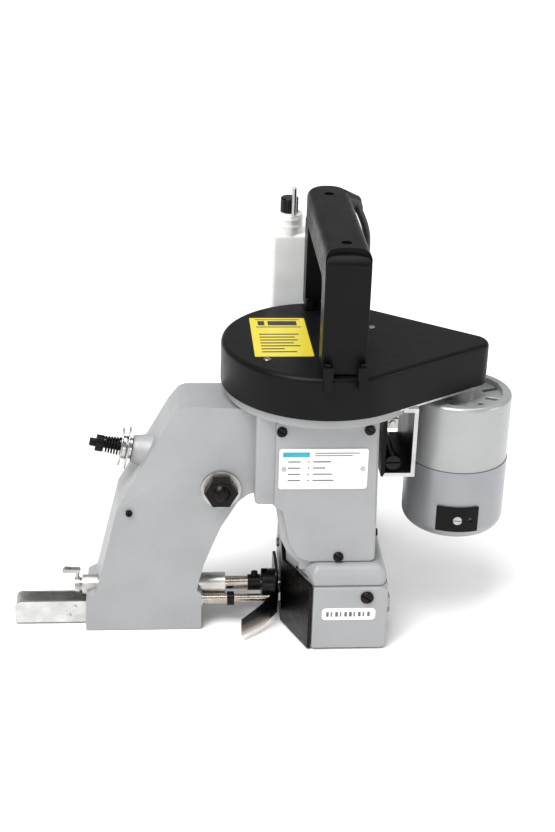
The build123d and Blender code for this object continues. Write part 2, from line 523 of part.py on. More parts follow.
tc = prism_xy([(g0, GRIP_Y0, 0), (g1, GRIP_Y0, 0), (g1, GRIP_Y1, 15.0), (g0, GRIP_Y1, 15.0)], 291.2, GRIP_TOP)
tc = tc - cylz((g0 + g1) / 2, GRIP_Y0 - 8.6, 18.6, 285, 310)
tc = tc - box(g0 - 1, g1 + 1, GRIP_Y0 - 2, GRIP_Y0 + 1.5, 285, 310)
tc = try_fillet(tc, [e for e in tc.edges() if e.center().Z > GRIP_TOP - 0.01 and e.center().Y > GRIP_Y0 + 12], 6.0)
tc = try_fillet(tc, [e for e in tc.edges() if e.center().Z > GRIP_TOP - 0.01 and e.center().Y < GRIP_Y0 + 14 and e.length > 20], 2.5)
HS = [(7.3, -46.0), (6.6, 62.0)]
for hx, hy in HS:
    tc -= Pos(hx, hy, GRIP_TOP) * Cylinder(3.6, 6.0)
    tc -= cylz(hx, hy, 1.7, 288, 310)
put("handle_top_cover", tc)
s = None
for hx, hy in HS:
    k = cylz(hx, hy, 3.2, GRIP_TOP - 3.0, GRIP_TOP - 1.2) + cylz(hx, hy, 1.6, 291.3, GRIP_TOP - 2.9)
    k -= Pos(hx, hy, GRIP_TOP - 1.2) * Box(7, 0.9, 1.4)
    s = k if s is None else s + k
put("handle_screws", HSCR + s)
TRIG_PIN = (45.0, 283.2)   # Y, Z
trig = prism_yz([(-38.5, 276.0, 2.5), (48.5, 276.0, 3), (48.5, 285.4, 2.5), (41.0, 285.4, 2), (38.0, 280.0, 2), (-38.5, 280.0, 1.5)], g0 + 3.8, g1 - 3.8)
trig -= cylx(TRIG_PIN[0], TRIG_PIN[1], 1.3, -20, 40)
put("trigger", trig)
PINS = [cylx(TRIG_PIN[0], TRIG_PIN[1], 1.25, g0 + 0.8, g1 - 0.8)]
NODES["handle_body"] -= cylx(TRIG_PIN[0], TRIG_PIN[1], 1.25, g0 + 0.8, g1 - 0.8)
put("power_switch", box(g0 + 8, g1 - 8, -22, 6, 285.3, 291.0) + box(5.2, 9.2, -14, -10, 284.6, 285.4))
ts = cylz(7.25, 18.0, 3.0, 280.1, 287.4) - cylz(7.25, 18.0, 2.2, 279, 289)
put("trigger_spring", ts)
NODES["handle_body"] += box(g0 + 4.0, g1 - 4.0, 14.0, 22.0, 287.4, 291.0)

# ---- oil bottle -------------------------------------------------------------------
bx, by = BOTTLE
BZ0, BZ1 = 200.0, 267.0
bot = prism_xy([(bx - 13.4, by - 12.5, 3), (bx + 13.4, by - 12.5, 3), (bx + 13.4, by + 12.5, 3), (bx - 13.4, by + 12.5, 3)], BZ0, BZ1)
bot = try_fillet(bot, bot.edges().group_by(Axis.Z)[-1], 2.4)
bot = try_fillet(bot, bot.edges().group_by(Axis.Z)[0], 3.0)
neck_y = by - 3.0
bot += cylz(bx, neck_y, 9.2, BZ1 - 1, BZ1 + 14.5)
bot += cylz(bx, neck_y, 9.7, BZ1 + 5.0, BZ1 + 6.6) + cylz(bx, neck_y, 9.7, BZ1 + 10.4, BZ1 + 12.0)
bot -= cylz(bx - 0.6, neck_y + 2.0, 4.0, BZ1 - 6, BZ1 + 16)
cavb = prism_xy([(bx - 11.4, by - 10.5, 2), (bx + 11.4, by - 10.5, 2), (bx + 11.4, by + 10.5, 2), (bx - 11.4, by + 10.5, 2)], BZ0 + 2, BZ1 - 2.5)
bot -= cavb
PINP = (bx + 2.0, neck_y - 6.9)
bot -= cylz(PINP[0], PINP[1], 1.75, BZ1 - 6, BZ1 + 16)
put("oil_bottle", bot)
cap = cylz(bx - 0.6, neck_y + 2.0, 6.6, BZ1 + 15.0, BZ1 + 25.6)
cap = try_fillet(cap, cap.edges().filter_by(GeomType.CIRCLE).sort_by(Axis.Z)[-1:], 1.2)
for k in range(18):
    cap -= Pos(bx - 0.6, neck_y + 2.0, BZ1 + 19.0) * Rot(0, 0, 20 * k) * Pos(6.8, 0, 0) * Cylinder(0.45, 9)
cap += cylz(bx - 0.6, neck_y + 2.0, 2.9, BZ1 + 4, BZ1 + 15.4)
put("oil_cap", cap)
pin = cylz(PINP[0], PINP[1], 1.7, BZ1 + 1.0, BZ1 + 35.4)
pin = try_fillet(pin, pin.edges().filter_by(GeomType.CIRCLE).sort_by(Axis.Z)[-1:], 1.2)
put("oil_pump_pin", pin)
brk = box(bx - 13, bx + 13, 66.0, by + 12.0, 197.6, 199.8)
brk += box(bx - 9, bx + 9, 64.0, 77.0, 180.2, 182.6)
brk += box(bx - 9, bx + 9, 74.6, 77.0, 180.2, 199.8)
brk -= cylz(0, 0, 69.2, 170, 188)
brk -= cylz(0, 0, COVER_R + 0.6, 183, 220)
brk += (box(bx - 9, bx + 9, 55.0, 77.0, 177.6, 180.0))
brk += box(bx - 9, bx + 9, 74.6, 77.0, 177.6, 182.0)
put("bottle_bracket", brk)

# ---- needle lever, link, needle bar --------------------------------------------------
lx0, lz0 = PIVOT
ang = math.degrees(math.atan2(LEVER_PIN[0] - lx0, -(LEVER_PIN[1] - lz0)))   # lean of the lower arm
Larm = math.hypot(LEVER_PIN[0] - lx0, LEVER_PIN[1] - lz0)


def lever_local(pts, y0, y1):
    """Prism in the lever's own XZ plane: +x right, z up along the arm."""
    a_ = math.radians(ang)
    out = []
    for p in pts:
        x, z = p[0], p[1]
        X = lx0 + x * math.cos(a_) - z * math.sin(a_)
        Z = lz0 + x * math.sin(a_) + z * math.cos(a_)
        out.append((X, Z) + tuple(p[2:]))
    return prism_xz(out, y0, y1)


ly0_, ly1_ = NEEDLE_Y + 5.6, NEEDLE_Y + 12.6
low = lever_local([(-6, 0), (6, 0), (5.2, -80, 3), (6.5, -92, 2), (6.5, -119, 2), (3.6, -119, 1), (3.6, -92, 1), (-3.6, -92, 1),
                   (-3.6, -119, 1), (-6.5, -119, 2), (-6.5, -92, 2), (-5.2, -80, 3)], ly0_, ly1_)
TOPPIN = (-76.0, 150.0)
upa = prism_xz([(lx0 - 7, lz0, 0), (lx0 + 7, lz0, 0), (TOPPIN[0] + 5, TOPPIN[1], 0), (TOPPIN[0] + 4, TOPPIN[1] + 5.5, 3),
                (TOPPIN[0] - 4, TOPPIN[1] + 5.5, 3), (TOPPIN[0] - 5, TOPPIN[1], 0)], ly0_, ly1_)
lev = low + upa + cyly(lx0, lz0, 11.0, ly0_, ly1_)
lev -= cyly(lx0, lz0, 7.05, -60, 60)
lev -= cyly(TOPPIN[0], TOPPIN[1], 2.55, -60, 60)
put("needle_lever", lev)
rod = prism_xz([(TOPPIN[0] - 6, 145, 4), (TOPPIN[0] - 6, 155, 4), (-24, 154, 1), (-24, 146, 1)], -2.0, 2.0)
rod -= cyly(TOPPIN[0], TOPPIN[1], 2.5, -60, 60)
fork = box(-26, 12, -18.5, 18.5, 146, 154) - box(-19.5, 13, -15, 15, 140, 160)
rod = rod + fork
put("needle_link", Compound(children=[*rod.solids(), *(cyly(TOPPIN[0], TOPPIN[1], 2.5, ly0_ - 2.5, ly1_ + 6.0) + cyly(TOPPIN[0], TOPPIN[1], 4.0, ly1_ + 4.6, ly1_ + 6.2)
    + cyly(TOPPIN[0], TOPPIN[1], 4.0, ly0_ - 2.6, ly0_ - 0.35)).solids()]))

dpin = cyly(LEVER_PIN[0], LEVER_PIN[1], 2.2, NEEDLE_Y - 5.0, -0.9)
nbar = cylx(NEEDLE_Y, NEEDLE_Z, 5.0, -177.5, -44.0) - dpin
put("needle_bar", Compound(children=[*nbar.solids(), *dpin.solids()]))
cl = cylx(NEEDLE_Y, NEEDLE_Z, 6.0, -50.5, -41.0) - cylx(NEEDLE_Y, NEEDLE_Z, 5.0, -60, -44.0) - cylx(NEEDLE_Y, NEEDLE_Z, 1.2, -60, -30)
ss = cylz(-45.5, NEEDLE_Y, 1.6, NEEDLE_Z + 5.0, NEEDLE_Z + 8.6)
ss = ss + cylz(-45.5, NEEDLE_Y, 2.5, NEEDLE_Z + 6.2, NEEDLE_Z + 8.8) - box(-50, -40, NEEDLE_Y - 0.4, NEEDLE_Y + 0.4, NEEDLE_Z + 8.0, NEEDLE_Z + 10)
ss = ss - cylx(NEEDLE_Y, NEEDLE_Z, 6.0, -60, -30)
put("needle_clamp", Compound(children=[*cl.solids(), *ss.solids()]))
nd = cylx(NEEDLE_Y, NEEDLE_Z, 1.15, -44.0, -16.0)
nd += Pos(-13.0, NEEDLE_Y, NEEDLE_Z) * Rot(0, 90, 0) * Cone(1.15, 0.15, 6.0)
nd -= box(-19.0, -16.6, NEEDLE_Y - 0.35, NEEDLE_Y + 0.35, NEEDLE_Z - 3, NEEDLE_Z + 3)
put("needle", nd)
bush = (cylx(NEEDLE_Y, NEEDLE_Z, 7.9, -86.8, -67.2) + cylx(NEEDLE_Y, NEEDLE_Z, 6.6, -92.5, -86.8)
        + cylx(NEEDLE_Y, NEEDLE_Z, 7.2, -172.0, -161.0) + cylx(NEEDLE_Y, NEEDLE_Z, 6.6, -164.2, -156.0)) - cylx(NEEDLE_Y, NEEDLE_Z, 5.05, -190, -50)
bush += cylx(PRESS_Y, PRESS_Z, 5.55, -94.5, -84.0) - cylx(PRESS_Y, PRESS_Z, 4.25, -100, -60) - cylx(NEEDLE_Y, NEEDLE_Z, 7.95, -100, -60)
bush -= NODES["frame_casting"]
bush = Compound(children=[b_ for b_ in bush.solids() if b_.volume > 30])
put("bar_bushings", bush)
tk = cylz(-175.6, NEEDLE_Y, 1.4, NEEDLE_Z + 4.0, 41.0)
tk += cylx(NEEDLE_Y, NEEDLE_Z, 5.9, -177.2, -174.0)
tk -= cylx(NEEDLE_Y, NEEDLE_Z, 5.0, -190, -150)
tk += prism_xz([(-173.2, 39.2, 1), (-173.2, 41.6, 1), (-184.6, 42.4, 1), (-186.8, 40.2, 1), (-185.2, 39.4, 0.6)], NEEDLE_Y - 2.4, NEEDLE_Y + 2.4)
tk -= cylz(-181.0, NEEDLE_Y, 1.1, 30, 50)
put("thread_pull_off", tk)

# ---- presser bar, foot, lifting lever -------------------------------------------------
pb = cylx(PRESS_Y, PRESS_Z, 4.2, -146.0, -66.0) + cylx(PRESS_Y, PRESS_Z, 3.2, -66.0, -31.5)
put("presser_bar", pb)
pcl = cylx(PRESS_Y, PRESS_Z, 5.2, -65.9, -60.8) - cylx(PRESS_Y, PRESS_Z, 3.2, -80, -50)
pcl -= cylx(NEEDLE_Y, NEEDLE_Z, 8.15, -80, -50)      # relief beside the needle bar bushing

pcol = cylx(PRESS_Y, PRESS_Z, 4.95, -124.0, -118.0) - cylx(PRESS_Y, PRESS_Z, 4.2, -140, -60)
put("presser_collars", pcl + pcol)
sp = cylx(PRESS_Y, PRESS_Z, 4.9, -117.9, -94.6) - cylx(PRESS_Y, PRESS_Z, 4.3, -140, -60)
put("presser_spring", sp)
BOSS_Y, BOSS_Z = NEEDLE_Y - 0.6, NEEDLE_Z - 0.6
foot = cylx(BOSS_Y, BOSS_Z, 11.0, -40.2, -30.6) - cylx(NEEDLE_Y, NEEDLE_Z, 6.9, -42, -32.6)
foot -= box(-42, -36.0, NEEDLE_Y - 3.4, NEEDLE_Y + 3.4, NEEDLE_Z, NEEDLE_Z + 14)
foot -= cylx(PRESS_Y, PRESS_Z, 3.2, -45, -31.5)
foot = foot - cylx(NEEDLE_Y, NEEDLE_Z, 2.2, -50, -20)
pf = prism_xy([(-30.5, 11), (-30.5, -24.5), (-43, -38.5), (-56.5, -49.5), (-55.3, -51.0), (-41.8, -39.8), (-28.4, -25.2), (-28.4, 11)], 4.5, 42.0)
pf -= prism_xz([(-60, 16.5, 0), (-31, 26.0, 0), (-28, 60, 0), (-70, 60, 0)], -70, -25.4)
pf -= cylx(NEEDLE_Y, NEEDLE_Z, 2.2, -50, -20)
pf -= prism_xz([(-60, 0, 0), (-40, 4, 0), (-26, 9.5, 0), (-26, 0, 0)], -70, 12)
pf = try_fillet(pf, pf.edges().filter_by(Axis.X).sort_by(Axis.Z)[-2:], 5)
pf -= cylx(PRESS_Y, PRESS_Z, 3.3, -60, -31.3)
pf -= foot
put("presser_foot", Compound(children=[*foot.solids(), *[b_ for b_ in pf.solids() if b_.volume > 60]]))

LEV_PIN = (-158.5, 9.5)
ll = box(-221.5, -152.5, -23.0, -7.0, 1.0, 18.5) - box(-230, -150, -21.4, -8.6, 2.6, 30)
ll -= box(-169.0, -150, -30, 0, 14.6, 30)
ll -= box(-166.0, -150, -30, 0, -5, 4.4)
ll = try_fillet(ll, [e for e in ll.edges().filter_by(Axis.Y) if e.center().X < -220 and e.center().Z > 15], 5.0)
ll = try_fillet(ll, [e for e in ll.edges().filter_by(Axis.Y) if e.center().X > -153], 2.0)
ll -= cyly(LEV_PIN[0], LEV_PIN[1], 2.05, -60, 60)
PINS.append(cyly(LEV_PIN[0], LEV_PIN[1], 2.0, -31.5, 12.5))
put("hinge_pins", PINS[0] + PINS[1])
NODES["frame_casting"] -= cyly(LEV_PIN[0], LEV_PIN[1], 2.0, -31.5, 12.5)
rv = None
for rx, rz in ((-178, 13.5), (-182, 6.0)):
    k = cyly(rx, rz, 1.6, -24.0, -23.0)
    rv = k if rv is None else rv + k
put("lifting_lever", ll + rv)

# ---- pivot bolt, washer, nut --------------------------------------------------------------
put("pivot_bolt", cyly(lx0, lz0, 7.0, ARM_Y0 - 6.5, ARM_Y1 + 2.0))
pw = cyly(lx0, lz0, 14.3, ARM_Y0 - 2.3, ARM_Y0 - 0.05) - cyly(lx0, lz0, 7.0, -60, 60)
hx_ = Plane(origin=(lx0, ARM_Y0 - 2.35, lz0), x_dir=(1, 0, 0), z_dir=(0, -1, 0)) * RegularPolygon(12.0, 6)
pn = extrude(hx_, amount=6.2)
pn += Pos(lx0, ARM_Y0 - 8.5, lz0) * Rot(90, 0, 0) * Cylinder(8.2, 1.0)
dome = Pos(lx0, ARM_Y0 - 5.0, lz0) * Sphere(7.6)
dome = dome & box(lx0 - 12, lx0 + 12, ARM_Y0 - 13.0, ARM_Y0 - 8.0, lz0 - 12, lz0 + 12)
pn = pn + dome
pn -= cyly(lx0, lz0, 7.0, ARM_Y0 - 6.5, 20)
put("pivot_nut", Compound(children=[*pn.solids(), *pw.solids()]))

# ---- thread tension ---------------------------------------------------------------------------
put("tension_stud", tcyl(3.0, -7.0, 39.5) - Plane(origin=T0 + td * 39.5, z_dir=td) * Box(8, 1.0, 3.0))
d0 = tcyl(7.6, 9.2, 11.6)
d1 = tcyl(15.4, 11.8, 13.0)
d2 = tcyl(13.9, 16.4, 17.6)
put("tension_discs", Compound(children=[(q_ - tcyl(3.0, -20, 60)).solids()[0] for q_ in (d0, d1, tcyl(8.4, 13.1, 16.3), d2)]))
tsp = tcyl(5.0, 18.0, 28.8) - tcyl(3.6, -20, 60)
for k in range(4):
    tsp += tcyl(6.4, 18.0 + 2.75 * k, 19.6 + 2.75 * k) - tcyl(3.6, -20, 60)
put("tension_spring", tsp)
tn = tcyl(6.0, 29.3, 35.0) - tcyl(3.05, -20, 60)
for k in range(16):
    pl = Plane(origin=T0 + td * 32.1, z_dir=td)
    tn -= pl * (Rot(0, 0, 22.5 * k) * Pos(6.2, 0, 0) * Cylinder(0.55, 8))
put("tension_nut", tn)
ge = cyly(-137.0, 97.5, 2.4, ARM_Y0 - 2.0, ARM_Y0) - cyly(-137.0, 97.5, 1.0, -60, ARM_Y0 - 0.8)
ge = ge + cyly(-137.0, 97.5, 1.6, ARM_Y0, ARM_Y0 + 5)
put("thread_guides", ge)

# ---- looper, looper shaft, feed dog ---------------------------------------------------------------
lsh = cylz(LOOP[0], LOOP[1], 4.0, 1.6, 48.0)
lo = cylz(LOOP[0], LOOP[1], 8.0, 30.6, 39.0)
lo += prism_xy([(20, -43, 0), (20, -33, 0), (0.5, -29.0, 3), (-9.8, -20.5, 2), (-11.4, -9.5, 0.3), (-12.6, -9.5, 0.3), (-14.0, -20.5, 2), (-3.0, -38.5, 5)], 31.2, 34.4)
lo -= cylz(LOOP[0], LOOP[1], 4.0, 20, 50)
put("looper", Compound(children=[*lo.solids(), lsh]))
fd = box(-27.4, -17.0, -20.5, -2.5, 15.6, 22.4)
for k in range(6):
    fd -= prism_xy([(-27.6, -19.5 + 3 * k), (-26.2, -18.6 + 3 * k), (-27.6, -17.6 + 3 * k)], 15, 23)
fd += box(-17.0, 12.0, -15.5, -7.5, 15.6, 22.4)
put("feed_dog", fd)

# ---- power cord ---------------------------------------------------------------------------------------
# route of the free cord: leaves the boot at the grip's right rear corner,
# hangs behind the machine to the floor and runs into the coil
EXIT = (30.5, 76.5, 287.5)
ROUTE = [(30.5, 76.5, 287.5), (37.2, 78.3, 274.2), (38.8, 81.0, 256.0), (38.5, 86.0, 222.0), (37.0, 89.0, 180.0),
         (38.5, 91.0, 138.0), (41.0, 93.5, 100.0), (43.5, 97.0, 72.0), (47.0, 103.5, 50.0), (49.0, 112.0, 34.0), (47.5, 122.5, 25.4)]
COIL_C = (24.0, 112.0)
COIL_MID = 29.5
COIL_IN, COIL_OUT = 23.0, 36.0
COIL_Z = 22.0


def cord_tube(points, d):
    vs = [Vector(*p) for p in points]
    rad = []
    for i in range(1, len(vs) - 1):
        a_, b_ = vs[i] - vs[i - 1], vs[i + 1] - vs[i]
        t_ = math.radians(a_.get_angle(b_))
        r_ = 0.45 * min(a_.length, b_.length) / math.tan(t_ / 2)
        rad.append(r_)
    print("cord runs", [round((vs[i + 1] - vs[i]).length, 1) for i in range(len(vs) - 1)])
    print("cord radii", [round(r_, 1) for r_ in rad])
    path = FilletPolyline(*vs, radius=rad)
    pl = Plane(origin=path @ 0, z_dir=path % 0)
    tube = sweep(pl * Circle(d / 2), path=path)
    print("cord length", round(path.length, 1), "volume ratio", round(tube.volume / (math.pi * d * d / 4 * path.length), 4))
    return tube


put("power_cord", cord_tube(ROUTE, CORD_D))
coil = cylz(COIL_C[0], COIL_C[1], COIL_OUT, 0.0, COIL_Z) - cylz(COIL_C[0], COIL_C[1], COIL_IN, -1, COIL_Z + 1)
put("cord_coil", coil)
bj = Vector(27.2, 75.6, 294.0)
b0 = Vector(17.5, 72.5, 297.5)
u1 = (bj - b0).normalized()
u2 = (Vector(*EXIT) - bj).normalized()
boot = loft([Plane(origin=b0, z_dir=u1) * Circle(6.6), Plane(origin=bj, z_dir=u1) * Circle(5.0)])
boot += Pos(*bj) * Sphere(5.0)
boot += loft([Plane(origin=bj, z_dir=u2) * Circle(5.0), Plane(origin=Vector(*EXIT), z_dir=u2) * Circle(3.6)])
boot -= NODES["handle_body"]
boot -= NODES["handle_top_cover"]
boot -= NODES["power_cord"]
if len(boot.solids()) > 1:
    boot = boot.solids().sort_by(SortBy.VOLUME)[-1]
put("cord_boot", boot)
plug = prism_xy([(50, 157, 3), (66, 157, 3), (66, 184, 3), (50, 184, 3)], 0.0, 14.0)
plug = try_fillet(plug, plug.edges().group_by(Axis.Z)[-1], 2.5)
plug += cyly(54.5, 7, 2.0, 183, 201) + cyly(61.5, 7, 2.0, 183, 201)
plug += Pos(58.0, 153.5, 7) * Rot(-90, 0, 0) * Cone(3.4, 4.8, 9)
put("power_plug", plug)

# ---- write the files ------------------------------------------------------------------------------------
put("slotted_screws", Compound(children=[b_ for q_ in SLOTTED for b_ in q_.solids()]))
put("small_screws", Compound(children=[b_ for q_ in SMALL for b_ in q_.solids()]))
put("frame_bolts", Compound(children=[b_ for q_ in BOLTS for b_ in q_.solids()]))
for name, shape in NODES.items():
    sols = shape.solids() if hasattr(shape, "solids") else [shape]
    out = Compound(children=[Pos(OX, OY, 0) * s_ for s_ in sols]) if len(sols) > 1 else Pos(OX, OY, 0) * sols[0]
    export_step(out, "parts/%s.step" % name)
CORD = ("power_cord", "cord_coil", "power_plug", "cord_boot")
lo_, hi_ = [1e9] * 3, [-1e9] * 3
for name, shape in NODES.items():
    if name in CORD:
        continue
    bb_ = shape.bounding_box()
    for i_, (a_, b_) in enumerate(zip((bb_.min.X, bb_.min.Y, bb_.min.Z), (bb_.max.X, bb_.max.Y, bb_.max.Z))):
        lo_[i_] = min(lo_[i_], a_)
        hi_[i_] = max(hi_[i_], b_)
print("box without the cord", [round(v, 2) for v in lo_], [round(v, 2) for v in hi_])
print("offsets should be", round(-(lo_[0] + hi_[0]) / 2, 2), round(-(lo_[1] + hi_[1]) / 2, 2))
print(len(NODES), "nodes")
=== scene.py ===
import bpy
import bmesh
import json
import math
from mathutils import Matrix, Vector


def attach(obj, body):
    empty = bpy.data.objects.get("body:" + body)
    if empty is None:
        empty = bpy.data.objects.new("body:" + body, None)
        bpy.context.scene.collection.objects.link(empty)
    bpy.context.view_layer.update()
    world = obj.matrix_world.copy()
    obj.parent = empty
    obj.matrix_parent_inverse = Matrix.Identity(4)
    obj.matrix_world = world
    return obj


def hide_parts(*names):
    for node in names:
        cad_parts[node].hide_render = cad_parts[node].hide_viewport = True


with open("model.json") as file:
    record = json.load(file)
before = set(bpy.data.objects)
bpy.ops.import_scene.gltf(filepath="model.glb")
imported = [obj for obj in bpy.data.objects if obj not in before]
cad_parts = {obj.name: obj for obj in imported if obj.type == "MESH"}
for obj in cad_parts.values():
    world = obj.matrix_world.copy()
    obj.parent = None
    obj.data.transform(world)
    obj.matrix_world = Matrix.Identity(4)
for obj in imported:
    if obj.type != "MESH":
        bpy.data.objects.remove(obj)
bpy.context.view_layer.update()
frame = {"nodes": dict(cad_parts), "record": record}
nodes = frame["nodes"]
scene = bpy.context.scene

# working frame of the design (main shaft axis at floor level), in millimetres
OX, OY = 41.9, -14.35


def W(x, y, z):
    return Vector(((x + OX) / 1000, (y + OY) / 1000, z / 1000))


def link(o):
    scene.collection.objects.link(o)
    return o


# ---------------------------------------------------------------- camera ----
psi, rho = 0.0843, -0.0316
d = Vector((0.07633, 0.90307, -0.42265)).normalized()
right0 = Vector((math.cos(psi), -math.sin(psi), 0)).normalized()
right0 = (right0 - d * right0.dot(d)).normalized()
up0 = right0.cross(d)
r = right0 * math.cos(rho) - up0 * math.sin(rho)
u = up0 * math.cos(rho) + right0 * math.sin(rho)
cd = bpy.data.cameras.new("camera")
cd.sensor_fit = "AUTO"
cd.sensor_width = 36.0
cd.lens = 68.14
cd.clip_start, cd.clip_end = 0.01, 50
cam = link(bpy.data.objects.new("camera", cd))
cam.matrix_world = Matrix((
    (r.x, u.x, -d.x, W(-116.93, 0, 0).x),
    (r.y, u.y, -d.y, W(0, -1020.53, 0).y),
    (r.z, u.z, -d.z, 0.63514),
    (0, 0, 0, 1)))
scene.camera = cam

# ------------------------------------------------------------- materials ----


def new_mat(name, color, rough, metal=0.0, spec=0.5, coat=0.0, coat_rough=0.1, transmission=0.0, ior=1.5, sss=0.0):
    m = bpy.data.materials.new(name)
    m.use_nodes = True
    nt = m.node_tree
    b = nt.nodes["Principled BSDF"]
    b.inputs["Base Color"].default_value = (*color, 1)
    b.inputs["Roughness"].default_value = rough
    b.inputs["Metallic"].default_value = metal
    b.inputs["Specular IOR Level"].default_value = spec
    b.inputs["Coat Weight"].default_value = coat
    b.inputs["Coat Roughness"].default_value = coat_rough
    b.inputs["Transmission Weight"].default_value = transmission
    b.inputs["IOR"].default_value = ior
    b.inputs["Subsurface Weight"].default_value = sss
    return m, nt, b


def tex(nt, kind, scale, detail=3.0, stretch=None, rough=0.5):
    co = nt.nodes.new("ShaderNodeTexCoord")
    mp = nt.nodes.new("ShaderNodeMapping")
    nt.links.new(co.outputs["Object"], mp.inputs["Vector"])
    if stretch:
        mp.inputs["Scale"].default_value = stretch
    if kind == "noise":
        t = nt.nodes.new("ShaderNodeTexNoise")
        t.inputs["Scale"].default_value = scale
        t.inputs["Detail"].default_value = detail
        t.inputs["Roughness"].default_value = rough
        nt.links.new(mp.outputs[0], t.inputs["Vector"])
        return t.outputs["Fac"]
    t = nt.nodes.new("ShaderNodeTexVoronoi")
    t.inputs["Scale"].default_value = scale
    nt.links.new(mp.outputs[0], t.inputs["Vector"])
    return t.outputs["Distance"]


def ramp(nt, fac, stops):
    c = nt.nodes.new("ShaderNodeValToRGB")
    nt.links.new(fac, c.inputs["Fac"])
    els = c.color_ramp.elements
    els[0].position, els[0].color = stops[0][0], (*stops[0][1], 1)
    els[1].position, els[1].color = stops[-1][0], (*stops[-1][1], 1)
    for p, col in stops[1:-1]:
        e = els.new(p)
        e.color = (*col, 1)
    return c.outputs["Color"]


def fmap(nt, fac, a, b, lo=0.3, hi=0.7):
    mr = nt.nodes.new("ShaderNodeMapRange")
    mr.inputs["From Min"].default_value = lo
    mr.inputs["From Max"].default_value = hi
    mr.inputs["To Min"].default_value = a
    mr.inputs["To Max"].default_value = b
    nt.links.new(fac, mr.inputs["Value"])
    return mr.outputs[0]


def bump(nt, bsdf, facs):
    """facs: list of (socket, strength, distance in m); chained bumps."""
    prev = None
    for f, s, dist in facs:
        bn = nt.nodes.new("ShaderNodeBump")
        bn.inputs["Strength"].default_value = s
        bn.inputs["Distance"].default_value = dist
        nt.links.new(f, bn.inputs["Height"])
        if prev is not None:
            nt.links.new(prev, bn.inputs["Normal"])
        prev = bn.outputs["Normal"]
    nt.links.new(prev, bsdf.inputs["Normal"])


def mul(c, k):
    return tuple(min(1, x * k) for x in c)


def paint(name, color, rough=0.38, metal=0.35, grain=1.0, coat=0.25):
    """Sprayed metallic paint over a casting: fine orange peel, faint cloudiness, grime and flakes."""
    m, nt, b = new_mat(name, color, rough, metal, coat=coat, coat_rough=0.18)
    big = tex(nt, "noise", 22, 4)
    fine = tex(nt, "noise", 900, 2)
    mid = tex(nt, "noise", 260, 3)
    flake = tex(nt, "voronoi", 2200)
    c1 = ramp(nt, big, [(0.25, mul(color, 0.90)), (0.5, color), (0.75, mul(color, 1.07))])
    mx = nt.nodes.new("ShaderNodeMix")
    mx.data_type = "RGBA"
    mx.blend_type = "OVERLAY"
    mx.inputs["Factor"].default_value = 0.20
    nt.links.new(c1, mx.inputs["A"])
    nt.links.new(ramp(nt, flake, [(0.0, (0.40, 0.40, 0.40)), (0.6, (0.62, 0.62, 0.62))]), mx.inputs["B"])
    nt.links.new(mx.outputs["Result"], b.inputs["Base Color"])
    nt.links.new(fmap(nt, mid, rough - 0.06, rough + 0.08), b.inputs["Roughness"])
    bump(nt, b, [(mid, 0.35 * grain, 0.00012), (fine, 0.22 * grain, 0.00004)])
    return m


def plastic(name, color, rough=0.35, coat=0.0, grain=1.0, spec=0.5):
    m, nt, b = new_mat(name, color, rough, 0.0, spec=spec, coat=coat, coat_rough=0.12)
    fine = tex(nt, "noise", 1400, 2)
    mid = tex(nt, "noise", 60, 3)
    nt.links.new(ramp(nt, mid, [(0.3, mul(color, 0.85)), (0.7, mul(color, 1.25))]), b.inputs["Base Color"])
    nt.links.new(fmap(nt, mid, rough - 0.05, rough + 0.07), b.inputs["Roughness"])
    bump(nt, b, [(fine, 0.25 * grain, 0.00005)])
    return m


def steel(name, color, rough=0.25, stretch=(1, 1, 1), grain=1.0, dirt=0.0, dirt_color=(0.08, 0.05, 0.03)):
    m, nt, b = new_mat(name, color, rough, 1.0)
    brush = tex(nt, "noise", 1.0, 3, stretch=stretch)
    blot = tex(nt, "noise", 90, 4)
    c = ramp(nt, blot, [(0.3, mul(color, 0.80)), (0.55, color), (0.75, mul(color, 1.12))])
    if dirt > 0:
        mx = nt.nodes.new("ShaderNodeMix")
        mx.data_type = "RGBA"
        nt.links.new(fmap(nt, tex(nt, "noise", 160, 5), 0.0, dirt, 0.5, 0.75), mx.inputs["Factor"])
        nt.links.new(c, mx.inputs["A"])
        mx.inputs["B"].default_value = (*dirt_color, 1)
        c = mx.outputs["Result"]
    nt.links.new(c, b.inputs["Base Color"])
    nt.links.new(fmap(nt, brush, rough - 0.07, rough + 0.12), b.inputs["Roughness"])
    bump(nt, b, [(brush, 0.12 * grain, 0.00003), (tex(nt, "noise", 500, 3), 0.08 * grain, 0.00004)])
    return m


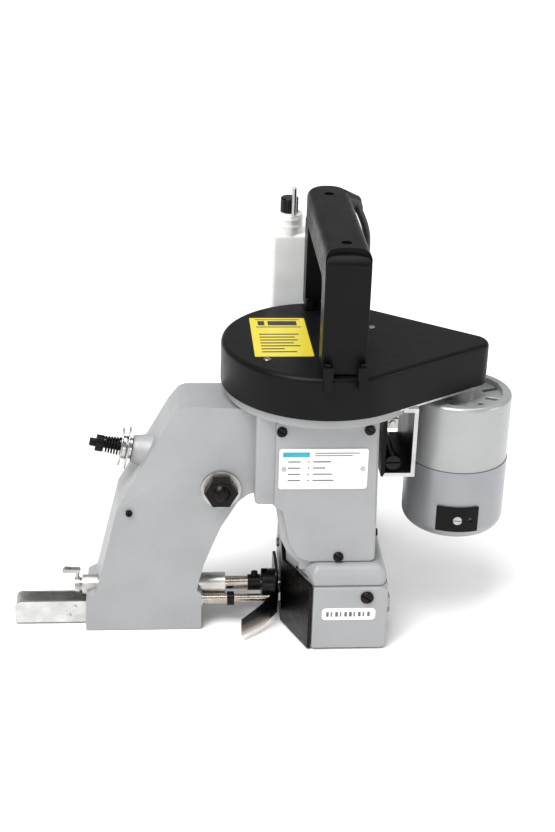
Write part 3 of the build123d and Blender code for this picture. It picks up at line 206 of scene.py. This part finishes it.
MAT = {
    "casting_paint": paint("silver_grey_paint", (0.305, 0.31, 0.315), 0.46, 0.10, grain=1.6, coat=0.08),
    "motor_paint_upper": paint("light_silver_paint", (0.335, 0.34, 0.342), 0.36, 0.45, grain=1.3),
    "motor_paint_lower": paint("cool_silver_paint", (0.265, 0.273, 0.287), 0.36, 0.45, grain=1.3),
    "black_plastic": plastic("black_satin", (0.004, 0.004, 0.0045), 0.36, coat=0.0, spec=0.11),
    "gloss_black": plastic("black_gloss", (0.004, 0.004, 0.004), 0.20, coat=0.03, spec=0.16),
    "bar_steel": steel("ground_bar", (0.40, 0.36, 0.315), 0.22, (4000, 30, 30), dirt=0.12),
    "bright_steel": steel("polished_steel", (0.48, 0.47, 0.46), 0.20, (900, 900, 60), dirt=0.10),
    "zinc_steel": steel("zinc_steel", (0.44, 0.43, 0.41), 0.32, (300, 300, 300), dirt=0.10),
    "black_steel": steel("black_oxide", (0.017, 0.016, 0.016), 0.32, (200, 200, 200), dirt=0.25, dirt_color=(0.05, 0.03, 0.02)),
    "bronze": steel("bush_steel", (0.58, 0.57, 0.55), 0.34, (60, 60, 60), grain=0.3),
    "lever_aluminium": steel("lever_aluminium", (0.60, 0.60, 0.59), 0.30, (60, 1500, 1500), dirt=0.06),
    "bracket_aluminium": steel("bracket_aluminium", (0.52, 0.52, 0.51), 0.36, (60, 900, 900), dirt=0.05),
    "belt_rubber": plastic("belt_rubber", (0.02, 0.02, 0.02), 0.7, grain=2),
    "cord_rubber": plastic("cord_rubber", (0.012, 0.012, 0.012), 0.42, grain=1.2),
    "switch_plastic": plastic("trigger_plastic", (0.030, 0.020, 0.017), 0.45),
    "iron_core": steel("winding", (0.35, 0.22, 0.14), 0.45, (50, 50, 900), dirt=0.3),
}


def film(name, color, stripes):
    """Printed film: plain field with generic bars that say nothing."""
    m, nt, b = new_mat(name, color, 0.32, coat=0.35, coat_rough=0.1)
    mid = tex(nt, "noise", 70, 3)
    c = ramp(nt, mid, [(0.3, mul(color, 0.96)), (0.7, mul(color, 1.03))])
    nt.links.new(c, b.inputs["Base Color"])
    bump(nt, b, [(tex(nt, "noise", 120, 2), 0.08, 0.0001)])
    return m


MAT["label_yellow"] = film("yellow_film", (0.66, 0.55, 0.03), 0)
MAT["label_white"] = film("white_film", (0.86, 0.86, 0.84), 0)
MAT["plate_white"] = film("white_enamel", (0.84, 0.84, 0.83), 0)
MAT["print_black"] = plastic("print_black", (0.02, 0.02, 0.02), 0.5)
MAT["print_grey"] = plastic("print_grey", (0.10, 0.105, 0.115), 0.5)
MAT["print_teal"] = plastic("print_teal", (0.02, 0.30, 0.40), 0.4)
MAT["tie_white"] = plastic("tie_white", (0.7, 0.7, 0.68), 0.4)
MAT["felt"] = plastic("white_felt", (0.75, 0.75, 0.72), 0.9, grain=4)

# polyethylene bottle: translucent white
mm, nt, bb = new_mat("polyethylene", (0.86, 0.86, 0.83), 0.34, 0.0, sss=0.45)
bb.inputs["Subsurface Radius"].default_value = (0.012, 0.011, 0.009)
bb.inputs["Subsurface Scale"].default_value = 1.0
n1 = tex(nt, "noise", 45, 4)
nt.links.new(ramp(nt, n1, [(0.3, (0.80, 0.80, 0.76)), (0.7, (0.90, 0.90, 0.88))]), bb.inputs["Base Color"])
bump(nt, bb, [(n1, 0.25, 0.0006), (tex(nt, "noise", 500, 2), 0.15, 0.00006)])
MAT["bottle_plastic"] = mm

slot_of = {s["node"]: s["material_slot"] for s in frame["record"]["subparts"]}
BEVEL = {
    "frame_casting": 0.9, "column_cover": 0.5, "looper_block": 0.6, "looper_cover": 0.5, "belt_cover": 0.8,
    "motor_bracket": 0.5, "motor_upper_housing": 0.5, "motor_lower_housing": 0.6, "brush_covers": 0.4,
    "handle_body": 0.7, "handle_top_cover": 0.5, "lifting_lever": 0.35, "throat_plate": 0.35, "presser_foot": 0.4,
    "oil_bottle": 0.6, "oil_cap": 0.25, "bottle_bracket": 0.3, "pivot_nut": 0.4, "frame_bolts": 0.35, "trigger": 0.5,
    "power_plug": 0.4, "needle_clamp": 0.3, "presser_collars": 0.3, "tension_discs": 0.3,
    "tension_nut": 0.2, "tension_stud": 0.2, "thread_pull_off": 0.25, "thread_guides": 0.25, "handle_screws": 0.2,
    "slotted_screws": 0.25, "small_screws": 0.15, "needle_bar": 0.3, "presser_bar": 0.3, "main_pulley": 0.4,
    "pivot_bolt": 0.3, "name_plate": 0.1, "feed_dog": 0.1, "looper": 0.3, "needle_lever": 0.4, "needle_link": 0.4,
}
for n, o in nodes.items():
    o.data.materials.clear()
    o.data.materials.append(MAT[slot_of[n]])
    for p in o.data.polygons:
        p.use_smooth = True
        p.material_index = 0
    wm = o.modifiers.new("weld", "WELD")
    wm.merge_threshold = 0.000004
    if n in BEVEL:
        bv = o.modifiers.new("edge", "BEVEL")
        bv.width = BEVEL[n] / 1000
        bv.segments = 2
        bv.limit_method = "ANGLE"
        bv.angle_limit = math.radians(38)
        bv.use_clamp_overlap = True
        bv.harden_normals = True
        bv.miter_outer = "MITER_ARC"
    else:
        es = o.modifiers.new("split", "EDGE_SPLIT")
        es.split_angle = math.radians(38)

# the shallow crease where the arm's upper facet starts stays sharp
fo = nodes["frame_casting"]
ca, cb = W(-145.6, -33.0, 99.5), W(-50.0, -33.0, 166.0)
along = (cb - ca).normalized()
vs = fo.data.vertices
near = set()
for v in vs:
    q = v.co - ca
    if (q - along * q.dot(along)).length < 0.0004:
        near.add(v.index)
for e in fo.data.edges:
    if e.vertices[0] in near and e.vertices[1] in near:
        e.use_edge_sharp = True

# finishes that change within one piece
for n in ("tension_nut", "tension_stud"):
    nodes[n].data.materials[0] = MAT["black_steel"]

po = nodes["pivot_nut"]
po.data.materials.append(MAT["zinc_steel"])
ymax = max(v.co.y for v in po.data.vertices)
for p in po.data.polygons:
    if all(po.data.vertices[i].co.y > ymax - 0.00237 for i in p.vertices):
        p.material_index = 1                      # the washer under the nut

# painted shade: this extra black slot darkens bracket faces where shade falls; it is not a black part
mb = nodes["motor_bracket"]
mb.data.materials.append(MAT["black_plastic"])
mid = Vector((0.092, -0.026, 0.155))
for p in mb.data.polygons:
    c = p.center
    if 0.080 < c.x < 0.104 and -0.062 < c.y < 0.012 and 0.132 < c.z < 0.179:
        away = mid - c
        if p.normal.dot(Vector((away.x / 0.010, away.y / 0.034, away.z / 0.021))) > 0.4:
            p.material_index = 1                  # painted shade: black on the inner faces of the box frame, where shade falls

for p in mb.data.polygons:
    if p.center.x < 0.0840 and p.normal.y < -0.5:
        p.material_index = 1                      # painted shade: black on the front faces beside the column, where shade falls
for n in ("slotted_screws", "small_screws", "frame_bolts"):
    so_ = nodes[n]
    so_.data.materials.append(MAT["gloss_black"])
    for p in so_.data.polygons:
        c = p.center
        if 0.080 < c.x < 0.104 and c.y < 0.0 and 0.130 < c.z < 0.156:
            p.material_index = 1                  # black screw of the motor bracket
nodes["thread_pull_off"].data.materials[0] = MAT["zinc_steel"]

m, nt, b = new_mat("foot_worn_steel", (0.03, 0.03, 0.03), 0.30, 1.0)
co = nt.nodes.new("ShaderNodeTexCoord")
sx = nt.nodes.new("ShaderNodeSeparateXYZ")
nt.links.new(co.outputs["Object"], sx.inputs[0])
mr = nt.nodes.new("ShaderNodeMapRange")
mr.inputs["From Min"].default_value = 0.0155
mr.inputs["From Max"].default_value = 0.0050
nt.links.new(sx.outputs["Z"], mr.inputs["Value"])
nt.links.new(ramp(nt, mr.outputs[0], [(0.0, (0.018, 0.017, 0.017)), (0.55, (0.16, 0.14, 0.12)), (1.0, (0.58, 0.54, 0.49))]), b.inputs["Base Color"])
worn = tex(nt, "noise", 300, 3)
nt.links.new(fmap(nt, worn, 0.24, 0.40), b.inputs["Roughness"])
bump(nt, b, [(worn, 0.15, 0.00004)])
nodes["presser_foot"].data.materials[0] = m

# ---------------------------------------------------------- piece helpers ---


def mesh_piece(name, bm, mat, body, smooth=True):
    me = bpy.data.meshes.new(name)
    bm.normal_update()
    bm.to_mesh(me)
    bm.free()
    me.materials.append(MAT[mat])
    for p in me.polygons:
        p.use_smooth = smooth
    o = link(bpy.data.objects.new(name, me))
    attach(o, body)
    return o


def tube_along(bm, pts, rad, seg=14, closed_ends=True):
    """Round tube through the points with a parallel-transported section."""
    rings = []
    n = len(pts)
    t_prev = None
    nrm = None
    for i, p in enumerate(pts):
        t = (pts[min(i + 1, n - 1)] - pts[max(i - 1, 0)]).normalized()
        if nrm is None:
            a = Vector((0, 0, 1)) if abs(t.z) < 0.9 else Vector((1, 0, 0))
            nrm = (a - t * a.dot(t)).normalized()
        else:
            nrm = (nrm - t * nrm.dot(t)).normalized()
        bn = t.cross(nrm)
        rr = rad[i] if isinstance(rad, (list, tuple)) else rad
        rings.append([bm.verts.new(p + (nrm * math.cos(2 * math.pi * k / seg) + bn * math.sin(2 * math.pi * k / seg)) * rr)
                      for k in range(seg)])
    for i in range(n - 1):
        for k in range(seg):
            bm.faces.new((rings[i][k], rings[i][(k + 1) % seg], rings[i + 1][(k + 1) % seg], rings[i + 1][k]))
    if closed_ends:
        bm.faces.new(list(reversed(rings[0])))
        bm.faces.new(rings[-1])
    return rings


def lathe(bm, origin, axis, prof, seg=48):
    """prof: list of (radius, distance along the axis), in metres."""
    axis = axis.normalized()
    a = Vector((0, 0, 1)) if abs(axis.z) < 0.9 else Vector((1, 0, 0))
    e1 = (a - axis * a.dot(axis)).normalized()
    e2 = axis.cross(e1)
    rings = []
    for rr, h in prof:
        c = origin + axis * h
        rings.append([bm.verts.new(c + (e1 * math.cos(2 * math.pi * k / seg) + e2 * math.sin(2 * math.pi * k / seg)) * max(rr, 1e-5))
                      for k in range(seg)])
    for i in range(len(rings) - 1):
        for k in range(seg):
            bm.faces.new((rings[i][k], rings[i][(k + 1) % seg], rings[i + 1][(k + 1) % seg], rings[i + 1][k]))
    bm.faces.new(list(reversed(rings[0])))
    bm.faces.new(rings[-1])


def helix(origin, axis, rad, pitch_fn, turns, per=24):
    axis = axis.normalized()
    a = Vector((0, 0, 1)) if abs(axis.z) < 0.9 else Vector((1, 0, 0))
    e1 = (a - axis * a.dot(axis)).normalized()
    e2 = axis.cross(e1)
    out = []
    N = int(turns * per)
    for i in range(N + 1):
        t = i / N
        w = 2 * math.pi * turns * t
        R = rad(t) if callable(rad) else rad
        out.append(origin + axis * pitch_fn(t) + (e1 * math.cos(w) + e2 * math.sin(w)) * R)
    return out


def bevel_obj(o, w, seg=2, ang=38):
    bv = o.modifiers.new("edge", "BEVEL")
    bv.width = w
    bv.segments = seg
    bv.limit_method = "ANGLE"
    bv.angle_limit = math.radians(ang)
    bv.harden_normals = True


# --------------------------------------------------------------- springs ----
tilt = math.radians(11.0)
td = Vector((-math.cos(tilt), 0, math.sin(tilt)))
T0 = W(-126.0, -10.0, 135.5)
bm = bmesh.new()
pts = helix(T0, td, lambda t: 0.0060 - 0.0007 * t, lambda t: 0.0180 + 0.0104 * t, 5.2, 26)
tube_along(bm, pts, 0.00072, 10)
o = mesh_piece("tension_coil", bm, "black_steel", "root")
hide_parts("tension_spring")

bm = bmesh.new()
pts = helix(W(-117.5, -24.5, 20.6), Vector((1, 0, 0)), 0.00462, lambda t: 0.0225 * t, 8.5, 22)
tube_along(bm, pts, 0.00030, 8)
o = mesh_piece("presser_coil", bm, "zinc_steel", "presser_bar")
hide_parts("presser_spring")

bm = bmesh.new()
pts = helix(W(7.25, 18.0, 280.4), Vector((0, 0, 1)), 0.0026, lambda t: 0.0066 * t, 4.5, 20)
tube_along(bm, pts, 0.00035, 8)
o = mesh_piece("trigger_coil", bm, "zinc_steel", "root")
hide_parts("trigger_spring")

# ------------------------------------------------------------------ cord ----
ROUTE = [(30.5, 76.5, 287.5), (37.2, 78.3, 274.2), (38.8, 81.0, 256.0), (38.5, 86.0, 222.0), (37.0, 89.0, 180.0),
         (38.5, 91.0, 138.0), (41.0, 93.5, 100.0), (43.5, 97.0, 72.0), (47.0, 103.5, 50.0), (49.0, 112.0, 34.0),
         (47.5, 122.5, 25.4)]
CX, CY = 24.0, 112.0
RI, RO = 26.8, 32.5


def smooth01(t):
    t = max(0.0, min(1.0, t))
    return t * t * (3 - 2 * t)


def coil_rz(a):
    """Radius and height of the coil's turns at winding angle a, in degrees."""
    z = 19.6
    for s in (341, 701, 1061):
        z -= 5.6 * smooth01((a - s) / 60.0)
    for s in (1630, 1990, 2350):
        z += 5.6 * smooth01((a - s) / 60.0)
    rr = RI + (RO - RI) * smooth01((a - 1310) / 90.0)
    return rr, z


coil_pts = [(41.5, 131.0, 21.5), (31.5, 136.9, 19.8)]
ang = 98.0
while ang < 2500:
    rr, zz = coil_rz(ang)
    coil_pts.append((CX + rr * math.cos(math.radians(ang)), CY + rr * math.sin(math.radians(ang)), zz))
    ang += 24.0
lead_out = [(57.2, 117.5, 18.4), (57.9, 128.5, 14.0), (58.1, 139.0, 9.4), (58.0, 149.4, 7.1)]
cu = bpy.data.curves.new("power_lead", "CURVE")
cu.dimensions = "3D"
cu.resolution_u = 8
cu.bevel_depth = 0.00275
cu.bevel_resolution = 5
cu.use_fill_caps = True
sp = cu.splines.new("NURBS")
allp = ROUTE + coil_pts + lead_out
sp.points.add(len(allp) - 1)
for i, p in enumerate(allp):
    w = W(*p)
    sp.points[i].co = (w.x, w.y, w.z, 1)
sp.order_u = 3
sp.use_endpoint_u = True
cu.materials.append(MAT["cord_rubber"])
lead = link(bpy.data.objects.new("power_lead", cu))
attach(lead, "root")
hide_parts("power_cord", "cord_coil")

probe = bpy.data.curves.new("probe", "CURVE")
probe.dimensions = "3D"
probe.resolution_u = 8
s2 = probe.splines.new("NURBS")
s2.points.add(len(allp) - 1)
for i, p in enumerate(allp):
    w = W(*p)
    s2.points[i].co = (w.x, w.y, w.z, 1)
s2.order_u = 3
s2.use_endpoint_u = True
po = bpy.data.objects.new("probe", probe)
link(po)
bpy.context.view_layer.update()
pm = bpy.data.meshes.new_from_object(po.evaluated_get(bpy.context.evaluated_depsgraph_get()))
bpy.data.objects.remove(po)
bpy.data.curves.remove(probe)
bpy.data.meshes.remove(pm)

# tie round the coil, on the side away from the lead-in
bm = bmesh.new()
ta = math.radians(205)
tc = W(CX + 29.6 * math.cos(ta), CY + 29.6 * math.sin(ta), 0)
er = Vector((math.cos(ta), math.sin(ta), 0))
et = Vector((-math.sin(ta), math.cos(ta), 0))
loop = []
hw, z0, z1, rc = 0.0069, 0.0004, 0.0232, 0.004
for cxs, czs, a0 in ((hw - rc, z1 - rc, 0), (-hw + rc, z1 - rc, 90), (-hw + rc, z0 + rc, 180), (hw - rc, z0 + rc, 270)):
    for k in range(7):
        a = math.radians(a0 + 15 * k)
        loop.append((cxs + rc * math.cos(a), czs + rc * math.sin(a)))
half = 0.0022
th = 0.0005
outer_v, inner_v = [], []
for side in (-half, half):
    outer_v.append([bm.verts.new(tc + er * a + Vector((0, 0, b)) + et * side) for a, b in loop])
    cxm, czm = 0.0, (z0 + z1) / 2
    ins = []
    for a, b in loop:
        l = math.hypot(a - cxm, b - czm)
        ins.append(bm.verts.new(tc + er * (a - (a - cxm) / l * th) + Vector((0, 0, b - (b - czm) / l * th)) + et * side))
    inner_v.append(ins)
L_ = len(loop)
for k in range(L_):
    k2 = (k + 1) % L_
    bm.faces.new((outer_v[0][k], outer_v[0][k2], outer_v[1][k2], outer_v[1][k]))
    bm.faces.new((inner_v[0][k2], inner_v[0][k], inner_v[1][k], inner_v[1][k2]))
    bm.faces.new((outer_v[0][k2], outer_v[0][k], inner_v[0][k], inner_v[0][k2]))
    bm.faces.new((outer_v[1][k], outer_v[1][k2], inner_v[1][k2], inner_v[1][k]))
tie = mesh_piece("coil_tie", bm, "print_black", "root")

# -------------------------------------------------- generic print on labels --


def slab(name, corners, top, h, mat, slot, body="root"):
    """Thin printed patch: corners as vectors, offset along 'top'."""
    bm = bmesh.new()
    lo = [bm.verts.new(c) for c in corners]
    hi = [bm.verts.new(c + top * h) for c in corners]
    n = len(corners)
    bm.faces.new(hi)
    bm.faces.new(list(reversed(lo)))
    for k in range(n):
        bm.faces.new((lo[k], lo[(k + 1) % n], hi[(k + 1) % n], hi[k]))
    bmesh.ops.recalc_face_normals(bm, faces=bm.faces)
    return mesh_piece(name, bm, mat, body, smooth=False)


def patch(name, rects, fn, mat, h=0.00006):
    """Several rectangles (u0, v0, u1, v1) as one thin printed piece; fn maps (u, v) to a point and gives the normal."""
    bm = bmesh.new()
    for u0, v0, u1, v1 in rects:
        cs = [fn(u0, v0), fn(u1, v0), fn(u1, v1), fn(u0, v1)]
        nrm = (cs[1] - cs[0]).cross(cs[2] - cs[1]).normalized()
        lo = [bm.verts.new(c) for c in cs]
        hi = [bm.verts.new(c + nrm * h) for c in cs]
        bm.faces.new(hi)
        bm.faces.new(list(reversed(lo)))
        for k in range(4):
            bm.faces.new((lo[k], lo[(k + 1) % 4], hi[(k + 1) % 4], hi[k]))
    return mesh_piece(name, bm, mat, "root", smooth=False)


# yellow film on the belt cover: black header band and plain rules
LB = [(-50.3, 38.4), (-10.6, 38.4), (-9.4, -32.4), (-50.1, -33.0)]
ztop = 217.8


def on_label(a, b):
    """a across (left 0, right 1), b along (front 0, rear 1)."""
    x0, y0 = LB[3]
    x1, y1 = LB[2]
    x2, y2 = LB[1]
    x3, y3 = LB[0]
    xf, yf = x0 + (x1 - x0) * a, y0 + (y1 - y0) * a
    xr, yr = x3 + (x2 - x3) * a, y3 + (y2 - y3) * a
    return W(xf + (xr - xf) * b, yf + (yr - yf) * b, ztop)


rects = [(0.10, 0.745, 0.90, 0.765), (0.10, 0.945, 0.90, 0.96)]
rects += [(0.13, 0.55 - 0.075 * k, 0.13 + w_, 0.575 - 0.075 * k) for k, w_ in enumerate((0.70, 0.62, 0.66, 0.58, 0.68, 0.40, 0.60))]
patch("label_rules", rects, on_label, "print_black")
# two generic symbol tiles
patch("label_tiles", [(0.14, 0.80, 0.26, 0.915), (0.32, 0.80, 0.84, 0.915)], on_label, "print_black")

# white name plate: header band and plain rules, no letters
yp = -50.0 - 3.9


def on_plate(a, b):
    return W(-33.0 + 61.8 * a, yp - 0.02, 126.5 + 31.0 * b)


patch("plate_header", [(0.04, 0.80, 0.34, 0.92)], on_plate, "print_teal")
rr_ = [(0.40, 0.885, 0.90, 0.905), (0.40, 0.825, 0.82, 0.845)]
for k in range(4):
    v = 0.68 - 0.155 * k
    rr_ += [(0.10, v - 0.012, 0.24, v + 0.018), (0.32, v - 0.012, 0.34, v + 0.018), (0.38, v - 0.012, 0.38 + (0.20, 0.14, 0.22, 0.24)[k], v + 0.018)]
patch("plate_rules", rr_, on_plate, "print_grey")
yp2 = -63.6


def on_serial(a, b):
    return W(0.3 + 38.7 * a, yp2 - 0.02, 25.2 + 9.6 * b)


patch("serial_bars", [(0.08 + 0.085 * k, 0.30, 0.08 + 0.085 * k + w_, 0.70) for k, w_ in enumerate((0.05, 0.03, 0.055, 0.03, 0.05, 0.055, 0.03, 0.05, 0.03, 0.05))],
      on_serial, "print_grey")

# ------------------------------------------------------------- floor, light --
fm, nt, fb = new_mat("floor", (0.95, 0.95, 0.95), 0.8, spec=0.1)
nf = tex(nt, "noise", 6, 2)
nt.links.new(ramp(nt, nf, [(0.3, (0.94, 0.94, 0.94)), (0.7, (0.96, 0.96, 0.96))]), fb.inputs["Base Color"])
bm = bmesh.new()
vs = [bm.verts.new(p) for p in ((-30, -30, -0.0006), (30, -30, -0.0006), (30, 30, -0.0006), (-30, 30, -0.0006))]
bm.faces.new(vs)
me = bpy.data.meshes.new("floor")
bm.to_mesh(me)
bm.free()
me.materials.append(fm)
floor = link(bpy.data.objects.new("floor", me))

world = bpy.data.worlds.new("world")
scene.world = world
world.use_nodes = True
bg = world.node_tree.nodes["Background"]
bg.inputs["Color"].default_value = (1.0, 1.0, 1.0, 1)
bg.inputs["Strength"].default_value = 0.40


def area(name, loc, target, size, power, color=(1, 1, 1), size_y=None):
    l = bpy.data.lights.new(name, "AREA")
    l.energy = power
    l.color = color
    l.size = size
    if size_y:
        l.shape = "RECTANGLE"
        l.size_y = size_y
    o = link(bpy.data.objects.new(name, l))
    o.location = loc
    o.rotation_mode = "QUATERNION"
    o.rotation_quaternion = (Vector(target) - Vector(loc)).to_track_quat("-Z", "Y")
    return o


for n, o in nodes.items():
    wn = o.modifiers.new("normals", "WEIGHTED_NORMAL")
    wn.mode = "FACE_AREA"
    wn.weight = 80
    wn.keep_sharp = True

ctr = (0.0, 0.0, 0.13)
sl = bpy.data.lights.new("sun", "SUN")
sl.energy = 2.7
sl.angle = math.radians(32)
so = link(bpy.data.objects.new("sun", sl))
so.rotation_mode = "QUATERNION"
so.rotation_quaternion = Vector((0.30, 0.33, -1.0)).to_track_quat("-Z", "Y")
area("key", (-0.9, -1.0, 1.3), ctr, 0.7, 9)
area("top", (0.25, 0.3, 1.5), ctr, 0.8, 6)
area("right", (1.4, -0.5, 0.6), ctr, 0.5, 4)
area("front", (0.2, -1.6, 0.5), ctr, 0.5, 2.5)
scene.view_settings.view_transform = "Standard"
scene.view_settings.look = "None"
